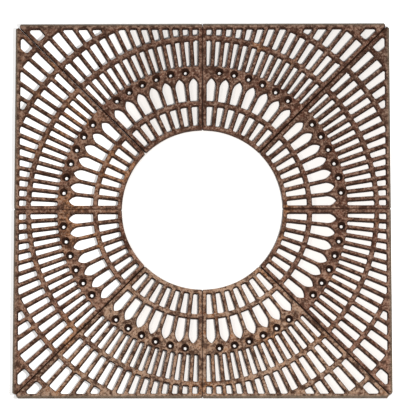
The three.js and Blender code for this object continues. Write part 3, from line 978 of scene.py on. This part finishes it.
class FinishSheet(NodeSheet):
    """A material's node tree that reads Object coordinates."""

    def __init__(self, name):
        self.material = bpy.data.materials.new(name)
        self.material.use_nodes = True
        super().__init__(self.material.node_tree)
        self.place = self.outputs("ShaderNodeTexCoord")["Object"]
        self.x, self.y, self.z = self.coordinates(self.place)
        self.reach = self.largest(abs(self.x), abs(self.y))

    def noise(self, scale, detail, roughness, distortion=0.0):
        """Noise from 0 to 1, with a number of cells to a metre."""
        values = {"Scale": scale, "Detail": detail, "Roughness": roughness, "Distortion": distortion}
        return self.add("ShaderNodeTexNoise", {"Vector": self.place, **values})

    def spread(self, value, low, high, to_low=0.0, to_high=1.0):
        """The value's stretch from low to high, spread smoothly over another."""
        values = {"Value": value, "From Min": low, "From Max": high, "To Min": to_low, "To Max": to_high}
        return self.add("ShaderNodeMapRange", values, interpolation_type="SMOOTHSTEP")

    def blend(self, cover, first, second):
        """The first colour, covered by the second from not at all at 0 to wholly at 1."""
        colours = [value if isinstance(value, Wire) else (*value, 1.0) for value in (first, second)]
        values = {"Factor": cover, "A": colours[0], "B": colours[1]}
        return self.add("ShaderNodeMix", values, data_type="RGBA")

    def upward(self):
        """How far a face looks up: 1 on top, 0 on an upright wall and -1 underneath."""
        return self.coordinates(self.outputs("ShaderNodeNewGeometry")["Normal"])[2]

    def outer_edge(self, width):
        """1 within a width of the square's outer edge, falling to 0 over as much again."""
        return self.spread(self.reach, SECTION_TOP.x - 2 * width, SECTION_TOP.x - width)

    def joint_dirt(self, fine, coarse):
        """Share of dirt along the joints, made uneven by two noises and thinner towards the edge."""
        diagonal = abs(abs(self.x) - abs(self.y)) * math.sqrt(0.5)
        nearest = self.math("MINIMUM", self.math("MINIMUM", abs(self.x), abs(self.y)), diagonal)
        for noise, shift in zip((fine, coarse), DIRT_SHIFTS):
            nearest = (noise - 0.5) * shift + nearest
        dirt = self.spread(nearest, DIRT_WHOLE, DIRT_END, 0.95, 0.0)
        return dirt * self.spread(self.reach, *DIRT_THINS, 1.0, 0.35)

    def of_kind(self, kind):
        """1 on the faces that follow one kind of outline, and 0 on the others."""
        found = self.node("ShaderNodeAttribute", attribute_name="kind").outputs["Fac"]
        return self.math("COMPARE", Wire(self, found), kind, 0.5)

    def bumped(self, height, distance, strength, **below):
        values = {"Height": height, "Distance": distance, "Strength": strength}
        return self.add("ShaderNodeBump", {**values, **below})

    def finish(self, paint, roughness, normal, metallic=0.0):
        shader = self.add("ShaderNodeBsdfPrincipled", {
            "Base Color": paint,
            "Roughness": roughness,
            "Normal": normal,
            "Metallic": metallic,
            "Specular IOR Level": SPECULAR,
        })
        self.node("ShaderNodeOutputMaterial", {"Surface": shader})
        return self.material


def rusted_iron(side, finish, base, worn, bloom, dirt, southward):
    """Rusted cast iron: mottled brown, dark in pits, dusty where it is walked on, with painted light and
    shade on the walls and painted shade in the drain holes.
    """
    sheet = FinishSheet("rusted_iron_" + side)
    mottle = sheet.noise(*MOTTLE)
    speckle = sheet.noise(*SPECKLE)
    grain = sheet.noise(*GRAIN)
    stains = sheet.noise(*STAINS)
    patches = sheet.noise(*PATCHES)
    upward = sheet.upward()
    top = sheet.spread(upward, 0.45, 0.97)
    wall = sheet.spread(abs(upward), 0.3, 0.85, 1.0, 0.0)
    low = sheet.spread(sheet.z, *SHADE_ENDS, 1.0, 0.0)
    outermost = sheet.outer_edge(SCALE_WIDTH)
    lift = {0: tuple(getattr(finish, base)), "Scale": 1.0 - sheet.y * southward}
    rust = sheet.add("ShaderNodeVectorMath", lift, operation="SCALE")
    # How much each layer covers, and its colour, from the first laid to the last
    layers = (
        (sheet.spread(stains, 0.48, 0.6, 0.0, 0.75), finish.red_rust),
        (sheet.spread(patches, *bloom, 0.0, 0.8), finish.bloom),
        (sheet.spread(speckle, 0.47, 0.62, 0.0, worn) * top, finish.worn),
        # Painted light: upright walls are covered by a red brown that stands in for the light bounced onto
        # them
        (wall * 0.5, finish.wall_rust),
        (sheet.outer_edge(WORN_WIDTH) * top * 0.3, finish.worn),
        (sheet.spread(mottle, 0.40, 0.56, 0.9, 0.0), finish.shade_rust),
        (sheet.spread(speckle, 0.37, 0.47, 0.85, 0.0), finish.shade_rust),
        # Painted shade, with some dirt: upright walls get darker towards their foot, deep in the slots
        (wall * low * 0.8 * (1.0 - outermost), finish.shade_rust),
        (outermost * (0.8 - wall * 0.55), finish.edge_scale),
        # Painted shade: the drain holes' walls are painted nearly black
        (sheet.of_kind(DRAIN) * wall * 0.9, finish.shade_rust),
        (sheet.joint_dirt(mottle, stains) * dirt, finish.shade_rust),
    )
    for cover, paint in layers:
        rust = sheet.blend(cover, rust, paint)
    roughness = sheet.spread(mottle, 0.3, 0.7, 1.0, 0.8)
    skin = sheet.bumped(mottle, IRON_BUMPS, 0.7)
    pits = sheet.bumped(speckle + grain, IRON_PITS, 0.7, Normal=skin)
    return sheet.finish(rust, roughness, pits)


def rusted_steel(finish):
    """The fasteners' finish: darker, with a slight gloss left."""
    sheet = FinishSheet(FASTENER_FINISH)
    mottle = sheet.noise(*STEEL_MOTTLE)
    rust = sheet.blend(sheet.spread(mottle, 0.35, 0.65), finish.shade_rust, finish.fastener)
    roughness = sheet.spread(mottle, 0.3, 0.7, 0.8, 0.55)
    return sheet.finish(rust, roughness, sheet.bumped(mottle, STEEL_BUMPS, 0.5), metallic=0.3)


def floor_finish(stage, opening_radius):
    """Warm white floor that glows a little in pictures, fades into white and is clear from below."""
    sheet = FinishSheet("white_floor")
    under = stage.floor_glow
    way_out = sheet.add("ShaderNodeVectorMath", {0: sheet.place}, operation="LENGTH")
    rim = SECTION_TOP.x - stage.glow_margin
    hole = opening_radius - stage.glow_margin
    glow_strength = sheet.largest(
        sheet.spread(sheet.reach, rim, SECTION_TOP.x, under, stage.outer_glow),
        sheet.spread(sheet.x, -stage.west_end, -stage.west_start, stage.west_glow, under),
        sheet.spread(sheet.reach, stage.glow_start, stage.glow_end),
        sheet.spread(way_out, hole, opening_radius, stage.opening_glow, under),
    )
    paint = sheet.add("ShaderNodeBsdfDiffuse", {"Color": (*stage.floor_paint, 1.0)})
    glow = sheet.add("ShaderNodeEmission", {"Strength": sheet.in_pictures() * glow_strength})
    lit = sheet.add("ShaderNodeAddShader", {0: paint, 1: glow})
    below = sheet.outputs("ShaderNodeNewGeometry")["Backfacing"]
    clear = sheet.add("ShaderNodeBsdfTransparent")
    shown = sheet.add("ShaderNodeMixShader", {0: below, 1: lit, 2: clear})
    sheet.node("ShaderNodeOutputMaterial", {"Surface": shown})
    return sheet.material


# Steps


class TREEGRATE_OT_sections(bpy.types.Operator):
    """Cast the eight sections in their places"""

    bl_idname = "treegrate.sections"
    bl_label = "Cast Sections"

    def execute(self, context):
        pattern = context.scene.grate_pattern
        bays = context.scene.grate_bays
        finish = context.scene.grate_finish
        plan = SectionPlan(pattern).mesh(bays)
        bolt_height = bays.washer_diameter / 2 + bays.floor_gap
        behind = bays.washer_thickness + bays.nut_thickness + bays.end_length
        sizes = {
            **sizes_of(pattern, "Depth", "Bar Depth", "Wall Draft", "Drain Taper", "Skirt Draft"),
            **sizes_of(pattern, "Edge Radius", "Rim Radius", "Foot Radius", "Unevenness", "Flange Width"),
            "Bay Length": bays.washer_diameter + 2 * bays.bay_clearance,
            "Bay Reach": behind + bays.bay_clearance,
            "Bay Roof": bolt_height + bays.washer_diameter / 2 + bays.roof_gap,
            "Pad Height": (pattern.diagonal_seam - bays.seat_gap) / 2,
            "Bolt Height": bolt_height,
            "Bolt Hole Radius": bays.bolt_diameter / 2 + bays.hole_clearance,
        }
        tree = None
        for quarter, side in enumerate(SIDES):
            material = rusted_iron(side, finish, **SIDE_FINISHES[side])
            for mirrored, hand in enumerate(HANDS):
                values = {
                    **sizes,
                    "Seed": float(2 * quarter + mirrored),
                    "Mirrored": bool(mirrored),
                    "Turn": quarter * QUARTER,
                    "Material": material,
                }
                tree = tree or section_tree(values)
                node = f"{side}_{hand}_section"
                declare(applied("cast_" + node, plan, tree, values), side + "_iron", node)
        return {"FINISHED"}


def make_fasteners(context, kind, shape):
    """One piece with a fastener of one kind on each of the joints' bolt places."""
    pattern = context.scene.grate_pattern
    bays = context.scene.grate_bays
    values = {
        **sizes_of(pattern, "Side Seam", "Diagonal Seam", "Flange Width"),
        **sizes_of(bays, "Bolt Diameter", "Head Width", "Head Height", "End Length", "End Chamfer"),
        **sizes_of(bays, "Thread Pitch", "Thread Depth", "Nut Width", "Nut Thickness", "Seat Gap"),
        **sizes_of(bays, "Washer Diameter", "Washer Thickness", "Washer Edge"),
        "Material": bpy.data.materials.get(FASTENER_FINISH) or rusted_steel(context.scene.grate_finish),
    }
    tree = fastener_tree(f"joint_{kind}", shape, values)
    nodes = [f"{joint}_joint_{place}_{kind}" for joint in JOINTS for place in BOLT_PLACES]
    declare(applied(f"joint_{kind}s", bolt_places(), tree, values), "fastener_steel", *nodes)
    return {"FINISHED"}


class TREEGRATE_OT_bolts(bpy.types.Operator):
    """Make the square-headed bolts that clamp the sections' flanges"""

    bl_idname = "treegrate.bolts"
    bl_label = "Make Bolts"

    def execute(self, context):
        return make_fasteners(context, "bolt", bolt_shape)


class TREEGRATE_OT_washers(bpy.types.Operator):
    """Make the washers under the nuts"""

    bl_idname = "treegrate.washers"
    bl_label = "Make Washers"

    def execute(self, context):
        return make_fasteners(context, "washer", washer_shape)


class TREEGRATE_OT_nuts(bpy.types.Operator):
    """Make the square nuts"""

    bl_idname = "treegrate.nuts"
    bl_label = "Make Nuts"

    def execute(self, context):
        return make_fasteners(context, "nut", nut_shape)


def lamp(name, place, size, light_share):
    """A square lamp aimed at the grate's middle, where it gives a share of plain white light."""
    light = bpy.data.lights.new(name, "AREA")
    light.size = size
    light.energy = light_share * math.pi ** 2 * place.length ** 3 / place.z
    item = placed(name, light)
    item.location = place
    item.rotation_euler = place.to_track_quat("Z", "Y").to_euler()


class TREEGRATE_OT_stage(bpy.types.Operator):
    """Set up the camera, the white floor and the soft light from both sides"""

    bl_idname = "treegrate.stage"
    bl_label = "Set Up Stage"

    def execute(self, context):
        scene = context.scene
        stage = scene.grate_stage
        scene.view_settings.view_transform = "Standard"
        half = stage.floor_size / 2
        corners = [(-half, -half, 0), (half, -half, 0), (half, half, 0), (-half, half, 0)]
        mesh = bpy.data.meshes.new("floor")
        mesh.from_pydata(corners, [], [(0, 1, 2, 3)])
        mesh.materials.append(floor_finish(stage, scene.grate_pattern.opening_radius))
        floor = placed("floor", mesh)

        world = bpy.data.worlds.new("white_room")
        scene.world = world
        world.use_nodes = True
        sheet = NodeSheet(world.node_tree)
        strength = sheet.in_pictures() * (1.0 - stage.ambient) + stage.ambient
        sky = sheet.add("ShaderNodeBackground", {"Color": (1.0, 1.0, 1.0, 1.0), "Strength": strength})
        sheet.node("ShaderNodeOutputWorld", {"Surface": sky})

        right_place = Vector((stage.right_east, -stage.lamps_south, stage.right_height))
        left_place = Vector((-stage.left_west, -stage.lamps_south, stage.left_height))
        lamp("right_lamp", right_place, stage.right_size, stage.right_light)
        lamp("left_lamp", left_place, stage.left_size, stage.left_light)

        lens = bpy.data.cameras.new("camera")
        lens.sensor_fit = "HORIZONTAL"
        lens.lens = lens.sensor_width * stage.camera_height / stage.view_width
        lens.clip_end = 4 * stage.camera_height
        camera = placed("camera", lens)
        camera.location = (stage.camera_east, -stage.camera_south, stage.camera_height)
        camera.rotation_euler = (stage.tilt_north, stage.tilt_west, 0)
        scene.camera = camera
        return {"FINISHED"}


class TREEGRATE_PT_panel(bpy.types.Panel):
    """Sizes, colours and steps of the tree grate"""

    bl_idname = "TREEGRATE_PT_panel"
    bl_label = "Tree Grate"
    bl_space_type = "VIEW_3D"
    bl_region_type = "UI"
    bl_category = "Tree Grate"

    def draw(self, context):
        for operator in OPERATORS:
            self.layout.operator(operator.bl_idname)
        for name in GROUPS:
            box = self.layout.box()
            group = getattr(context.scene, name)
            for item in group.bl_rna.properties:
                if not item.is_readonly and item.identifier != "name":
                    box.prop(group, item.identifier)


OPERATORS = (
    TREEGRATE_OT_sections,
    TREEGRATE_OT_bolts,
    TREEGRATE_OT_washers,
    TREEGRATE_OT_nuts,
    TREEGRATE_OT_stage,
)
GROUPS = {
    "grate_pattern": GratePattern,
    "grate_bays": GrateBays,
    "grate_finish": GrateFinish,
    "grate_stage": GrateStage,
}


def register():
    for item in (*GROUPS.values(), *OPERATORS, TREEGRATE_PT_panel):
        bpy.utils.register_class(item)
    for name, group in GROUPS.items():
        setattr(bpy.types.Scene, name, bpy.props.PointerProperty(type=group))


def unregister():
    for name in GROUPS:
        delattr(bpy.types.Scene, name)
    for item in (TREEGRATE_PT_panel, *OPERATORS, *GROUPS.values()):
        bpy.utils.unregister_class(item)


def main():
    register()
    bpy.ops.treegrate.sections()
    bpy.ops.treegrate.bolts()
    bpy.ops.treegrate.washers()
    bpy.ops.treegrate.nuts()
    bpy.ops.treegrate.stage()


if __name__ == "__main__":
    main()
